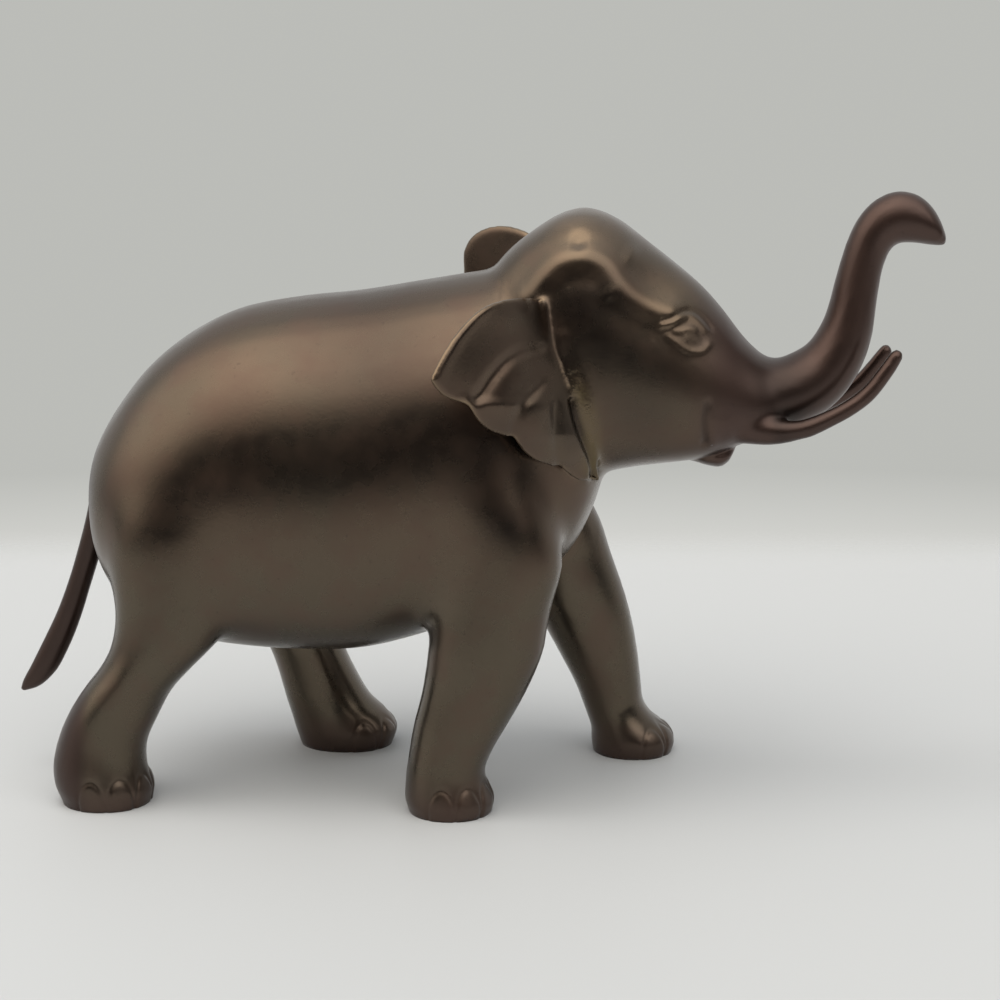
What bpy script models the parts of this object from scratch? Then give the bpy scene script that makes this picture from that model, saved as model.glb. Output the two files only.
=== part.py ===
"""Bronze figurine of a walking elephant with its trunk raised: one casting, standing on its four feet.

The figure faces +X and its left side is +Y. Its form is written in units of a 320th of its length.
The origin is under the middle of its bounding box, at the height of its soles.
"""

import math

import bmesh
import bpy
import numpy as np
from mathutils import Vector

LENGTH = 0.320  # tail tip to trunk tip
UNIT = LENGTH / 320  # the form's own unit, about a millimetre
EAR_THICKNESS = 0.0024  # a cast ear's wall
TRIANGLES = 9200  # of the whole casting
COARSE_GRAIN = 1.6  # of the fused mass, in units
FINE_GRAIN = 1.0  # of the whole, in units
SOLE_TRIM = 0.05  # taken off the soles last, in units, so that they are truly flat

BRONZE_COLOUR = (0.16, 0.115, 0.075, 1.0)
BRONZE_ROUGHNESS = 0.36

# Stations in the middle plane: upper edge x, z, lower edge x, z, and half width.
BODY = [
    (-141, 109, -141, 100, 6),
    (-139.6, 116, -140, 92, 16),
    (-136.4, 123.5, -137.8, 80, 26),
    (-129.5, 134.6, -131, 66, 34.5),
    (-119.4, 146.8, -121, 56, 40.5),
    (-106, 157.4, -107, 51.5, 44.5),
    (-90.5, 165.2, -91, 49, 46.5),
    (-69, 169.8, -69, 47.8, 47.5),
    (-46, 172.4, -46, 48.8, 47.4),
    (-30, 175.1, -31, 52.5, 46.6),
    (-14, 177.8, -16, 57.5, 45.8),
    (2, 180, 0, 63, 43.8),
    (14, 179, 12, 71, 37.2),
    (25, 169, 24, 83, 30),
    (32, 155, 32, 98, 22.5),
    (35.5, 140, 36.5, 113, 12),
]
BODY_FULLNESS = (2.15, 2.3)  # upper and lower half
BODY_WAIST = 0.43  # share of the way up at which it is widest
# The head's have the fullness of their upper half last, for it is squarer at the crown than at the trunk
HEAD = [
    (-8, 169, 0, 122, 18, 2.2),
    (1, 184, 6, 112, 26, 2.4),
    (12, 193.2, 16, 109, 30.5, 2.6),
    (21, 198.6, 24, 109.5, 32.5, 2.7),
    (29, 200.3, 32, 110.5, 33, 2.7),
    (39, 197, 41, 112.3, 31.5, 2.5),
    (50, 189, 50, 113.8, 29, 2.2),
    (60, 181.4, 60, 115, 26.6, 2.1),
    (69, 173.6, 69, 116.3, 24.5, 2.0),
    (76, 165.6, 76, 118.6, 22, 2.0),
    (82, 157.8, 82, 121.4, 19.5, 2.0),
    (88, 152, 89, 123, 17, 2.0),
    (92, 149, 95, 126, 13, 2.0),
    (94, 144, 98, 131, 6, 2.0),
]
HEAD_UNDER_FULLNESS = 2.3
HEAD_WAIST = 0.42
TRUNK = [
    (72, 160, 76, 119, 14),
    (83, 154, 86, 123, 15),
    (93, 150.2, 96, 126.4, 14),
    (99, 152.4, 104, 129, 12.8),
    (103.4, 155.2, 111.2, 133.2, 11.6),
    (106.3, 159.2, 117.2, 139.6, 10.7),
    (108.5, 163.6, 121.4, 147, 9.9),
    (110.2, 169, 124.6, 157, 9.1),
    (111.4, 174.5, 126, 170, 8.2),
    (113.2, 182, 127.3, 179.8, 7.6),
    (115.2, 189, 128.7, 184.6, 7.4),
    (118.4, 196.6, 130.2, 187.6, 7.5),
    (123.6, 202.8, 132, 188.9, 7.7),
    (131, 206.2, 134.8, 189.2, 7.8),
    (138.4, 204.8, 138.8, 189, 7.5),
    (143.4, 200.4, 142.6, 188.5, 6.6),
    (146.6, 194.6, 146, 188.2, 4.8),
    (148.2, 190, 147.8, 188.4, 2.4),
]
TAIL = [
    (-126, 138, -122, 128, 3),
    (-134, 126, -128, 118, 4),
    (-139.4, 117, -131, 110, 4.4),
    (-143, 104, -135, 101, 4.2),
    (-145.8, 92, -138.2, 90, 3.8),
    (-149.2, 80.5, -141.2, 79, 3.6),
    (-153.4, 68, -145.6, 66, 3.4),
    (-158, 56.8, -149.6, 54.4, 3.4),
    (-163.4, 46.2, -154.6, 43, 3.2),
    (-168.4, 36.8, -160.4, 33.6, 3),
    (-171.6, 31, -166.6, 28.6, 2.2),
    (-172.6, 28, -171.4, 27.2, 1.1),
]

# Legs, down to just under the ground: z, x, y outwards, half length, half width
LEG_FULLNESS = (2.15, 2.15)
HIND_RIGHT = [
    (132, -100, 15, 24, 13),
    (114, -102, 24, 26, 17),
    (96, -104, 29.4, 25.5, 17.2),
    (80, -106, 30.6, 23.6, 16.6),
    (66, -107.5, 31.4, 20.5, 15.8),
    (56, -111.2, 31.8, 17.8, 15.2),
    (48, -117, 32, 15.8, 14.9),
    (39, -124.6, 32.2, 15.2, 14.6),
    (30, -129.8, 32.6, 15.6, 14.4),
    (20, -134, 33, 15.3, 14.4),
    (12, -134.8, 33.6, 15.9, 15),
    (5, -133.2, 33.6, 16.6, 15.6),
    (0, -132.6, 33.6, 15, 14.4),
    (-5, -132.8, 33.6, 15, 14),
]
HIND_LEFT = [
    (132, -98, 15, 24, 13),
    (114, -97, 24, 25, 17),
    (96, -94, 29.4, 24, 17.2),
    (80, -90, 30.6, 21, 16.6),
    (66, -85, 31.4, 17.8, 15.8),
    (54, -80.4, 32, 15.4, 15),
    (42, -76.2, 32.6, 13.8, 14.2),
    (32, -72.4, 33.2, 13.8, 13.8),
    (24, -69.4, 33.6, 14.6, 13.8),
    (17, -66.4, 33.6, 15.8, 14),
    (11, -62.2, 33.6, 18.2, 14.4),
    (6, -60, 33.6, 19, 15),
    (0, -60, 33.6, 17, 14),
    (-5, -60, 33.6, 15, 13),
]
FORE_RIGHT = [
    (132, 4, 15, 24, 13),
    (114, 0, 25.2, 16, 16),
    (98, 1.6, 28, 20.6, 17),
    (84, 2.6, 30.6, 21.6, 16.6),
    (70, 0, 31.4, 20.2, 16),
    (58, -1.8, 31.8, 19.7, 15.4),
    (50, -3.5, 32, 18.8, 15),
    (40, -6.6, 32.4, 17.4, 14.4),
    (30, -10.6, 32.8, 15.9, 14),
    (20, -14.2, 33.2, 13.9, 13.6),
    (13, -15.8, 33.6, 13.3, 13.6),
    (8, -15.2, 33.6, 14.3, 14.4),
    (4, -14.4, 33.6, 15.2, 15),
    (0, -14.2, 33.6, 14, 13.8),
    (-5, -14.4, 33.6, 13.5, 13),
]
FORE_LEFT = [
    (132, 6, 15, 24, 13),
    (114, 1, 25.2, 16, 16),
    (98, 8.6, 28, 20.4, 17),
    (86, 14.4, 30.4, 20, 16.6),
    (76, 18, 31.2, 19.5, 16),
    (66, 22.2, 31.6, 18.8, 15.6),
    (55, 27, 32.2, 17.5, 15),
    (44, 31.2, 32.8, 15.8, 14.2),
    (34, 34.6, 33.2, 13.9, 13.6),
    (25, 37.4, 33.6, 12.1, 13),
    (18, 39.2, 33.6, 11.2, 12.8),
    (13, 41.8, 33.6, 12, 13.2),
    (8, 45.8, 33.6, 14.5, 14.4),
    (4, 46.6, 33.6, 15.4, 15),
    (0, 46.4, 33.6, 14.4, 14),
    (-5, 46.2, 33.6, 13, 13),
]

# A tusk: x, y outwards, z, radius
TUSK = [
    (74, 8, 131, 7),
    (84, 11.6, 129, 6.2),
    (93, 14, 127.6, 4.6),
    (102, 15.5, 128.9, 3.3),
    (110.6, 15.8, 132.7, 2.8),
    (116.8, 15.6, 136.2, 2.7),
    (122.6, 15.2, 140.8, 2.65),
    (127, 14.8, 146.4, 2.5),
    (130.4, 14.4, 151.6, 2.3),
    (131.8, 14.3, 154, 1.9),
    (132.4, 14.2, 155.1, 1.0),
]

LEFT_TUSK_DROP = 2.4  # how much lower the left tusk's tip is

# An ear's root down the side of the head: x, y outwards, z
EAR_ROOT = [
    (17, 27, 171),
    (20.6, 28.5, 158),
    (25.4, 30.2, 146),
    (29.6, 29.4, 134),
    (33.2, 25, 121),
    (35.2, 21, 111),
]
# Seen from its side, x, z: its top edge runs back to the rear corner, and the points between the lobes of its
# lower edge run forward again
RIGHT_TOP_EDGE = [(16.5, 172), (8, 174.6), (0, 173.4), (-6.2, 168.4), (-12.2, 160.2), (-16.2, 152)]
RIGHT_CUSPS = [(-16.2, 152), (-5.3, 143.6), (8.1, 131), (22.2, 119.6), (34.5, 112.6)]
LEFT_TOP_EDGE = [
    (16.5, 176),
    (12.5, 183.4),
    (5.5, 188.8),
    (-2, 190.4),
    (-9, 189.4),
    (-15, 185.8),
    (-18.2, 179.4),
    (-17.8, 173),
]
LEFT_CUSPS = [(-17.8, 173), (-13.4, 158), (3.5, 141), (20, 124.5), (34.5, 112.6)]
# How far outwards each ear goes for each unit away from its root
RIGHT_SPREAD = 0.87
LEFT_SPREAD = 0.6
RIGHT_LEAN = 0.6  # how far outwards the right one's edge goes besides, for each unit above its root
LEFT_LEAN = 0
RIGHT_EAR = (RIGHT_TOP_EDGE, RIGHT_CUSPS, RIGHT_SPREAD, RIGHT_LEAN)
LEFT_EAR = (LEFT_TOP_EDGE, LEFT_CUSPS, LEFT_SPREAD, LEFT_LEAN)
EAR_BELLY = 2.4  # how far it swells outwards between its root and its edge
BELLY_REACH = 20  # width of ear from which it swells fully
CUSP_BOW = 0.155  # how far each lobe's edge bows past its chord, as a share of the chord

# The lower lip, in the middle plane like the body
LIP = [
    (62, 121, 62, 116, 6),
    (67, 122, 67, 114.8, 9),
    (72, 122, 71.5, 113.6, 10),
    (76.5, 122, 75.6, 113.4, 9.6),
    (79, 121.6, 78, 115.2, 8),
    (80.4, 121, 79.6, 118.6, 5),
]

# Carving on each side of the head, seen from its side: points x, z, then the stroke's width and height.
# The ridge runs from behind the ear's top over the temple and down to the eye
RIDGE = [
    (5, 172),
    (11.5, 173.4),
    (16, 179),
    (20.5, 183.6),
    (25.8, 185.6),
    (31.9, 185.8),
    (36.4, 183.4),
    (40, 178.6),
    (45, 173.6),
    (51, 169.8),
    (57, 167.6),
    (63, 166.8),
]
UPPER_LID = [(53, 163.6), (57.4, 164.2), (60.4, 165.9), (63.6, 166.2), (67, 163.8), (69.6, 160.6)]
LID_CREASE = [(53.6, 165.4), (58, 166.2), (61, 167.8), (64.6, 167.9), (68.6, 165), (71.4, 161.4)]
LOWER_LID = [(55.4, 161.4), (58.9, 158.7), (62.9, 155.8), (68.3, 155.6), (71, 158.4)]
FACE_STROKES = [
    (RIDGE, 4.4, 1.7),
    ([(24, 190.6), (31, 190.2)], 2.6, -1.1),  # dimple above it
    ([(41, 188), (47, 184)], 3.4, 0.9),  # knob ahead of it
    ([(35, 176), (39.4, 172.4)], 2.8, 0.6),  # knob in the temple
    ([(57, 161.4), (62, 160.8), (68, 159)], 4.2, 0.7),  # eyeball
    (UPPER_LID, 1.1, 0.35),
    (LID_CREASE, 0.9, -0.3),
    ([(57.4, 162), (60.5, 161.8), (63.4, 162.6), (66.4, 161.4)], 0.9, 0.25),  # the lid's lower edge
    (LOWER_LID, 1.1, 0.3),
    ([(70.2, 139.5), (69.4, 134), (69.6, 123)], 1.2, -0.9),  # corner of the mouth
    ([(72.2, 135), (72.2, 130), (73, 122)], 2, 0.4),
    ([(74.4, 134), (77, 129.6), (79, 124)], 2.2, 0.4),
]
# Where the ear's front edge folds against the cheek, on each side
EAR_FOLD = [(26, 149), (29.6, 140), (31.6, 131), (32.6, 122), (33.4, 114)]
EAR_SLIT = [(26.2, 142), (27.4, 136), (30, 127.5), (32.4, 119), (33.4, 111)]
FOLD_STROKES = [
    ([(22.4, 164), (24, 156), (27, 147)], 2.6, 0.6),
    (EAR_FOLD, 2.6, 1),
    (EAR_SLIT, 1.1, -1.6),
]
# The fan of the ear, on the right one's side view
EAR_STROKES = [
    # The edge of the upper lobe
    ([(17, 158), (11.5, 158), (6, 155.9), (2, 152), (-0.8, 148), (-4.4, 142.4)], 1.5, -1.0),
    ([(7.6, 130), (8.5, 137.5), (12, 143), (17, 148)], 1.2, -0.7),
    ([(21.8, 119), (20.8, 130), (20, 141)], 1.2, -0.7),
    ([(14, 154), (6, 148), (2, 140)], 4.5, 0.7),
    ([(19, 149), (15, 138), (13, 129)], 4.5, 0.6),
    ([(23, 148), (26, 133), (28, 120)], 3.5, 0.5),
]
RIM_HEIGHT = 0.7  # of the ear's raised edge
EAR_ROWS = 96  # of its sheet, from the top down
EAR_COLUMNS = 40  # from its root out to its edge
RIM_WIDTH = 2.2  # in columns
EDGE_ROUNDING = 0.8  # share by which the rim's thickness falls off, before its root is taken
STROKE_TAPER = 2  # how long a stroke's end tapers, in its widths
STROKE_END = 0.25  # how much of a stroke there is at its very end, as a share before easing

# How softly the whole skin, the roots of ears and tusks and the ears' free parts are smoothed: passes at a
# grain of one unit
SKIN_SOFTNESS = 1
ROOT_SOFTNESS = 30
EAR_SOFTNESS = 8
BODY_PASSES = 16
FLANK_PASSES = 120

# Where the skin is smoothed, and how little at the feet and along the trunk
ANKLE = 14
KNEE = 34
TRUNK_ROOT = 88
TRUNK_BEND = 102
LEAST_SMOOTHING = 0.25
FLANK_FRONT = 34
FLANK_BOTTOM = 56
FLANK_TOP = 150
FLANK_INSIDE = 20
FLANK_FADE = 14
ROOT_BLEND = 9
TUSK_ROOT = [(80, 11, 129.6), (88, 13, 128.2), (96, 14.8, 127.8)]
EAR_BOTTOM = 108

# The space that the head's carving keeps to: its rear, its underside and its half width without the ears
HEAD_BACK = 2
HEAD_UNDERSIDE = 108
HEAD_HALF_WIDTH = 42
HEAD_MARGIN = 8  # over which the carving runs out at that half width
SIDE_FACING = (0.14, 0.54)  # how far a face turns sideways where the carving starts and is full

ANKLE_REACH = 1.6 * max(FORE_RIGHT[-1][3], HIND_RIGHT[-1][3])  # round the middle of a foot

# Toenails: feet by x, y, then each nail's turn round the foot in degrees, measured outwards from the front
FEET = [(-132.8, -33.6), (-60, 33.6), (-14.4, -33.6), (46.4, 33.6)]
NAIL_TURNS = [-56, -18, 20, 58, 96]
NAIL_HALF_WIDTH = 4.4
NAIL_BOTTOM = 1.6
NAIL_TOP = 10.4
NAIL_HEIGHT = 0.22
NAIL_EDGE = (0.8, 1.05)  # shares of its size between which a nail's height falls to nothing
NAIL_GROOVE = 0.24  # depth of the groove round each
GROOVE_PLACE = 1.08  # shares of a nail's size
GROOVE_WIDTH = 0.1
SOLE_FACING = 0.9  # how far down a face turns that belongs to the sole

# How many sides the forms' rings have
BODY_SIDES = 44
LIMB_SIDES = 28
SMALL_SIDES = 16


def smooth_through(stations, steps):
    """Rows on a smooth curve through the stations, with that many steps between each two."""
    rows = np.array(stations, float)
    gaps = np.linalg.norm(np.diff(rows[:, :4], axis=0), axis=1)
    slopes = np.diff(rows, axis=0) / gaps[:, None]
    near, far = gaps[:-1, None], gaps[1:, None]
    inner = (slopes[:-1] * far + slopes[1:] * near) / (near + far)
    tangents = np.vstack([slopes[:1], inner, slopes[-1:]])
    out = []
    for i, gap in enumerate(gaps):
        for t in np.arange(steps) / steps:
            out.append(
                (2 * t**3 - 3 * t**2 + 1) * rows[i]
                + (t**3 - 2 * t**2 + t) * gap * tangents[i]
                + (3 * t**2 - 2 * t**3) * rows[i + 1]
                + (t**3 - t**2) * gap * tangents[i + 1]
            )
    return np.array(out + [rows[-1]])


def ring(centre, across, up, down, sides, fullness=(2.0, 2.0)):
    """Points round two half super-ellipses that meet at their widest.

    Fullness is the upper half's and the lower's: 2 is an ellipse, and more is squarer.
    """
    points = []
    for angle in np.arange(sides) * 2 * math.pi / sides:
        c, s = math.cos(angle), math.sin(angle)
        power = 2 / fullness[0 if s > 0 else 1]
        reach = up if s > 0 else down
        points.append(centre + across * math.copysign(abs(c) ** power, c) + reach * abs(s) ** power)
    return points


def loft(shape, rings):
    """Add to shape a closed skin through rings of equal count, with a flat cap at each end."""
    loops = [[shape.verts.new(p) for p in points] for points in rings]
    count = len(loops[0])
    faces = [shape.faces.new(loops[0]), shape.faces.new(loops[-1])]
    for first, second in zip(loops, loops[1:]):
        for i in range(count):
            j = (i + 1) % count
            faces.append(shape.faces.new((first[i], first[j], second[j], second[i])))
    bmesh.ops.recalc_face_normals(shape, faces=faces)


def add_middle_form(shape, stations, sides, fullness=(2.0, 2.0), waist=0.5):
    """The body, head, lip, trunk or tail. Its waist, the widest height, is a share of its way up."""
    above, below = fullness
    rings = []
    for upper_x, upper_z, lower_x, lower_z, half_width, *own in smooth_through(stations, 4):
        upper, lower = Vector((upper_x, 0, upper_z)), Vector((lower_x, 0, lower_z))
        centre = lower.lerp(upper, waist)
        across = Vector((0, half_width, 0))
        shares = (own[0] if own else above, below)
        rings.append(ring(centre, across, upper - centre, lower - centre, sides, shares))
    loft(shape, rings)


def add_leg(shape, stations, outwards):
    """A leg: level rings down Z. outwards is -1 on the right side and 1 on the left."""
    rings = []
    for z, x, y, half_length, half_width in smooth_through(stations, 4):
        centre = Vector((x, y * outwards, z))
        across = Vector((half_length, 0, 0))
        out = Vector((0, half_width, 0))
        rings.append(ring(centre, across, out, -out, LIMB_SIDES, LEG_FULLNESS))
    loft(shape, rings)


def add_tusk(shape, outwards):
    rows = smooth_through(TUSK, 4)
    if outwards > 0:
        rows[:, 2] -= LEFT_TUSK_DROP * np.linspace(0, 1, len(rows)) ** 2
    spine = [Vector((x, y * outwards, z)) for x, y, z, _ in rows]
    rings = []
    for i, centre in enumerate(spine):
        ahead = (spine[min(i + 1, len(spine) - 1)] - spine[max(i - 1, 0)]).normalized()
        across = ahead.cross(Vector((0, 0, 1))).normalized()
        radius = rows[i][3]
        up = across.cross(ahead) * radius
        rings.append(ring(centre, across * radius, up, -up, SMALL_SIDES))
    loft(shape, rings)


def scalloped(cusps):
    """The lobes' edge from cusp to cusp, each bowed past its chord, in x, z."""
    points = []
    for start, end in zip(np.array(cusps[:-1], float), np.array(cusps[1:], float)):
        chord = end - start
        out = np.array([-abs(chord[1]), -abs(chord[0])])
        for t in np.arange(1, 9) / 8:
            points.append(start + chord * t + out * CUSP_BOW * math.sin(math.pi * t))
    return points


def along_path(points, shares):
    """Points at those shares of a path's length."""
    path = np.array(points)
    run = np.concatenate([[0], np.cumsum(np.linalg.norm(np.diff(path, axis=0), axis=1))])
    return np.stack([np.interp(shares * run[-1], run, column) for column in path.T], axis=1)


def smooth_path(points, steps=6):
    return smooth_through(points, steps)


def ear_sheet(top_edge, cusps, spread, lean, rows, columns):
    """Lines of points from the ear's root out to its free edge."""
    shares = np.arange(rows + 1) / rows
    root = along_path(smooth_path(EAR_ROOT), shares)
    edge = along_path(np.vstack([smooth_path(top_edge), scalloped(cusps)]), shares)
    sheet = []
    for (root_x, root_y, root_z), (edge_x, edge_z) in zip(root, edge):
        reach = math.hypot(edge_x - root_x, edge_z - root_z)
        inner = Vector((root_x, root_y, root_z))
        outer = Vector((edge_x, root_y + spread * reach + lean * max(0, edge_z - root_z), edge_z))
        line = [inner.lerp(outer, t) for t in np.arange(columns + 1) / columns]
        for j, point in enumerate(line):
            point.y += EAR_BELLY * min(1, reach / BELLY_REACH) * math.sin(math.pi * j / columns)
        sheet.append(line)
    return sheet


def nearest_on(points, path):
    """Each point's distance to a path, and how far from the path's nearer end that is."""
    distance, place = np.full(len(points), np.inf), np.zeros(len(points))
    lengths = np.linalg.norm(np.diff(path, axis=0), axis=1)
    run = 0
    for start, end, length in zip(path[:-1], path[1:], lengths):
        step = end - start
        share = np.clip((points - start) @ step / (step @ step), 0, 1)
        away = np.linalg.norm(points - start - share[:, None] * step, axis=1)
        place = np.where(away < distance, run + share * length, place)
        distance = np.minimum(distance, away)
        run += length
    return distance, np.minimum(place, run - place)


def stroke_depth(points, strokes):
    """How far each x, z point is raised by strokes, each a soft ridge or groove that tapers at its ends."""
    points = np.asarray(points, float)
    total = np.zeros(len(points))
    for path, width, height in strokes:
        distance, from_end = nearest_on(points, smooth_path(path, 4))
        taper = ease(from_end / (STROKE_TAPER * width) + STROKE_END)
        total += height * taper * np.exp(-((distance / width) ** 2))
    return total


def ease(share):
    """From 0 to 1 without a corner at either end."""
    share = np.clip(share, 0, 1)
    return share * share * (3 - 2 * share)


def add_ear(shape, ear, outwards):
    """An ear: a curved sheet of the cast wall's thickness, with its fan and rim raised on the outer face."""
    rows, columns = EAR_ROWS, EAR_COLUMNS
    sheet = ear_sheet(*ear, rows, columns)
    pattern = ear_sheet(*RIGHT_EAR, rows, columns)
    carved = stroke_depth([(p.x, p.z) for line in pattern for p in line], EAR_STROKES)
    half = EAR_THICKNESS / UNIT / 2
    front, back = [], []
    for i in range(rows + 1):
        front.append([])
        back.append([])
        for j in range(columns + 1):
            down = sheet[min(i + 1, rows)][j] - sheet[max(i - 1, 0)][j]
            out = sheet[i][min(j + 1, columns)] - sheet[i][max(j - 1, 0)]
            normal = out.cross(down)
            normal = normal.normalized() if normal.length > 1e-6 else Vector((0, 1, 0))
            if normal.y < 0:
                normal = -normal
            rim = RIM_HEIGHT * math.exp(-(((columns - j) / RIM_WIDTH) ** 2))
            raised = carved[i * (columns + 1) + j] + rim
            rounded = math.sqrt(1 - EDGE_ROUNDING * max(0, 1 - (columns - j) / RIM_WIDTH) ** 2)
            for skin, offset in ((front, (half + raised) * rounded), (back, -half * rounded)):
                point = sheet[i][j] + normal * offset
                skin[-1].append(shape.verts.new((point.x, point.y * outwards, point.z)))
    faces = []
    for i in range(rows):
        for j in range(columns):
            for skin in (front, back):
                near, far = skin[i], skin[i + 1]
                faces.append(shape.faces.new((near[j], far[j], far[j + 1], near[j + 1])))
        for j in (0, columns):
            faces.append(shape.faces.new((front[i][j], front[i + 1][j], back[i + 1][j], back[i][j])))
    for i in (0, rows):
        for j in range(columns):
            faces.append(shape.faces.new((front[i][j], front[i][j + 1], back[i][j + 1], back[i][j])))
    bmesh.ops.recalc_face_normals(shape, faces=faces)


def new_object(name, shape):
    mesh = bpy.data.meshes.new(name)
    shape.to_mesh(mesh)
    shape.free()
    made = bpy.data.objects.new(name, mesh)
    bpy.context.scene.collection.objects.link(made)
    return made


def apply_modifiers(thing):
    """Replace an object's mesh by what its modifiers make of it."""
    bpy.context.view_layer.update()
    made = bpy.data.meshes.new_from_object(thing.evaluated_get(bpy.context.evaluated_depsgraph_get()))
    thing.modifiers.clear()
    thing.data = made


def fuse(thing, grain):
    """One skin round everything in the object."""
    remesh = thing.modifiers.new("One skin", "REMESH")
    remesh.mode = "VOXEL"
    remesh.voxel_size = grain
    apply_modifiers(thing)


def smooth(thing, passes, share_at=None):
    """Smooth the skin. share_at gives each point's share of the smoothing, from its x, y, z."""
    soften = thing.modifiers.new("Smooth", "SMOOTH")
    soften.factor = 0.5
    soften.iterations = passes
    if share_at is not None:
        group = thing.vertex_groups.new(name="soft")
        shares = share_at(positions(thing.data))
        for step in range(11):
            chosen = np.flatnonzero(np.round(shares * 10) == step)
            group.add(chosen.tolist(), step / 10, "REPLACE")
        soften.vertex_group = "soft"
    apply_modifiers(thing)
    thing.vertex_groups.clear()


def fine_passes(softness):
    """Passes over the fine skin that soften it alike at any grain."""
    return math.ceil(softness / FINE_GRAIN**2)


def positions(mesh):
    flat = np.empty(len(mesh.vertices) * 3, np.float32)
    mesh.vertices.foreach_get("co", flat)
    return flat.reshape(-1, 3).astype(float)


def normals(mesh):
    flat = np.empty(len(mesh.vertices) * 3, np.float32)
    mesh.vertices.foreach_get("normal", flat)
    return flat.reshape(-1, 3).astype(float)


def soft_body(points):
    """Full smoothing on the body and head, and little on the feet and the trunk."""
    up_from_feet = (points[:, 2] - ANKLE) / (KNEE - ANKLE)
    back_from_trunk = (TRUNK_BEND - points[:, 0]) / (TRUNK_BEND - TRUNK_ROOT)
    return np.clip(np.minimum(up_from_feet, back_from_trunk), LEAST_SMOOTHING, 1)


def soft_flanks(points):
    """Full smoothing where the legs' tops merge with the body's sides."""
    behind_head = (FLANK_FRONT - points[:, 0]) / FLANK_FADE
    above_leg = (points[:, 2] - FLANK_BOTTOM) / FLANK_FADE
    below_back = (FLANK_TOP - points[:, 2]) / FLANK_FADE
    out = (np.abs(points[:, 1]) - FLANK_INSIDE) / FLANK_FADE
    return np.clip(np.min([behind_head, above_leg, below_back, out], axis=0), 0, 1)


def soft_roots(points):
    """Full smoothing where the ears and tusks grow out of the head."""
    mirrored = np.stack([points[:, 0], np.abs(points[:, 1]), points[:, 2]], axis=1)
    from_ear, _ = nearest_on(mirrored, smooth_path(EAR_ROOT))
    from_tusk, _ = nearest_on(mirrored, smooth_path(TUSK_ROOT))
    return ease(2 - 2 * np.minimum(from_ear, from_tusk) / ROOT_BLEND)


def soft_ears(points):
    """Full smoothing on the ears' free parts."""
    beyond = np.abs(points[:, 1]) - HEAD_HALF_WIDTH + HEAD_MARGIN
    return ease(beyond / HEAD_MARGIN) * (points[:, 2] > EAR_BOTTOM)


def carve_sides(thing):
    """Raise and press the face and the ear's fold on both sides of the head."""
    points, facing = positions(thing.data), normals(thing.data)
    start, full = SIDE_FACING
    side = ease((np.abs(facing[:, 1]) - start) / (full - start)) * (facing[:, 1] * points[:, 1] > 0)
    side *= ease((HEAD_HALF_WIDTH - np.abs(points[:, 1])) / HEAD_MARGIN)
    in_head = (points[:, 0] > HEAD_BACK) & (points[:, 2] > HEAD_UNDERSIDE)
    head = np.flatnonzero(in_head & (side > 0))
    from_side = points[head][:, [0, 2]]
    raised = stroke_depth(from_side, FACE_STROKES + FOLD_STROKES)
    points[head] += facing[head] * (raised * side[head])[:, None]
    thing.data.vertices.foreach_set("co", points.astype(np.float32).ravel())
    thing.data.update()


def carve_nails(thing):
    """Raise a row of rounded nails, each in a shallow groove, round each foot."""
    points, facing = positions(thing.data), normals(thing.data)
    for foot_x, foot_y in FEET:
        outwards = math.copysign(1, foot_y)
        ahead = points[:, 0] - foot_x
        aside = (points[:, 1] - foot_y) * outwards
        radius = np.hypot(ahead, aside)
        upright = np.abs(facing[:, 2]) < SOLE_FACING
        near = np.flatnonzero((radius < ANKLE_REACH) & (points[:, 2] < ANKLE) & upright)
        turn = np.degrees(np.arctan2(aside[near], ahead[near]))
        nearest = np.full(len(near), np.inf)
        for nail in NAIL_TURNS:
            sideways = np.radians(turn - nail) * radius[near] / NAIL_HALF_WIDTH
            up = np.clip(points[near, 2] - NAIL_BOTTOM, 0, None) / (NAIL_TOP - NAIL_BOTTOM)
            nearest = np.minimum(nearest, np.hypot(sideways, up))
        start, end = NAIL_EDGE
        raised = NAIL_HEIGHT * (1 - ease((nearest - start) / (end - start)))
        raised -= NAIL_GROOVE * np.exp(-(((nearest - GROOVE_PLACE) / GROOVE_WIDTH) ** 2))
        points[near] += facing[near] * raised[:, None]
    thing.data.vertices.foreach_set("co", points.astype(np.float32).ravel())
    thing.data.update()


def make_casting():
    """The whole figure as one fine skin, in units."""
    shape = bmesh.new()
    add_middle_form(shape, BODY, BODY_SIDES, BODY_FULLNESS, BODY_WAIST)
    add_middle_form(shape, HEAD, BODY_SIDES, (2.0, HEAD_UNDER_FULLNESS), HEAD_WAIST)
    add_middle_form(shape, TRUNK, LIMB_SIDES)
    add_leg(shape, HIND_RIGHT, -1)
    add_leg(shape, HIND_LEFT, 1)
    add_leg(shape, FORE_RIGHT, -1)
    add_leg(shape, FORE_LEFT, 1)
    casting = new_object("elephant", shape)
    fuse(casting, COARSE_GRAIN)
    smooth(casting, BODY_PASSES, soft_body)
    smooth(casting, FLANK_PASSES, soft_flanks)
    shape = bmesh.new()
    shape.from_mesh(casting.data)
    add_middle_form(shape, TAIL, SMALL_SIDES)
    add_middle_form(shape, LIP, SMALL_SIDES)
    for outwards in (-1, 1):
        add_tusk(shape, outwards)
    add_ear(shape, RIGHT_EAR, -1)
    add_ear(shape, LEFT_EAR, 1)
    shape.to_mesh(casting.data)
    shape.free()
    fuse(casting, FINE_GRAIN)
    smooth(casting, fine_passes(SKIN_SOFTNESS))
    smooth(casting, fine_passes(ROOT_SOFTNESS), soft_roots)
    smooth(casting, fine_passes(EAR_SOFTNESS), soft_ears)
    carve_sides(casting)
    carve_nails(casting)
    return casting


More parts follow.
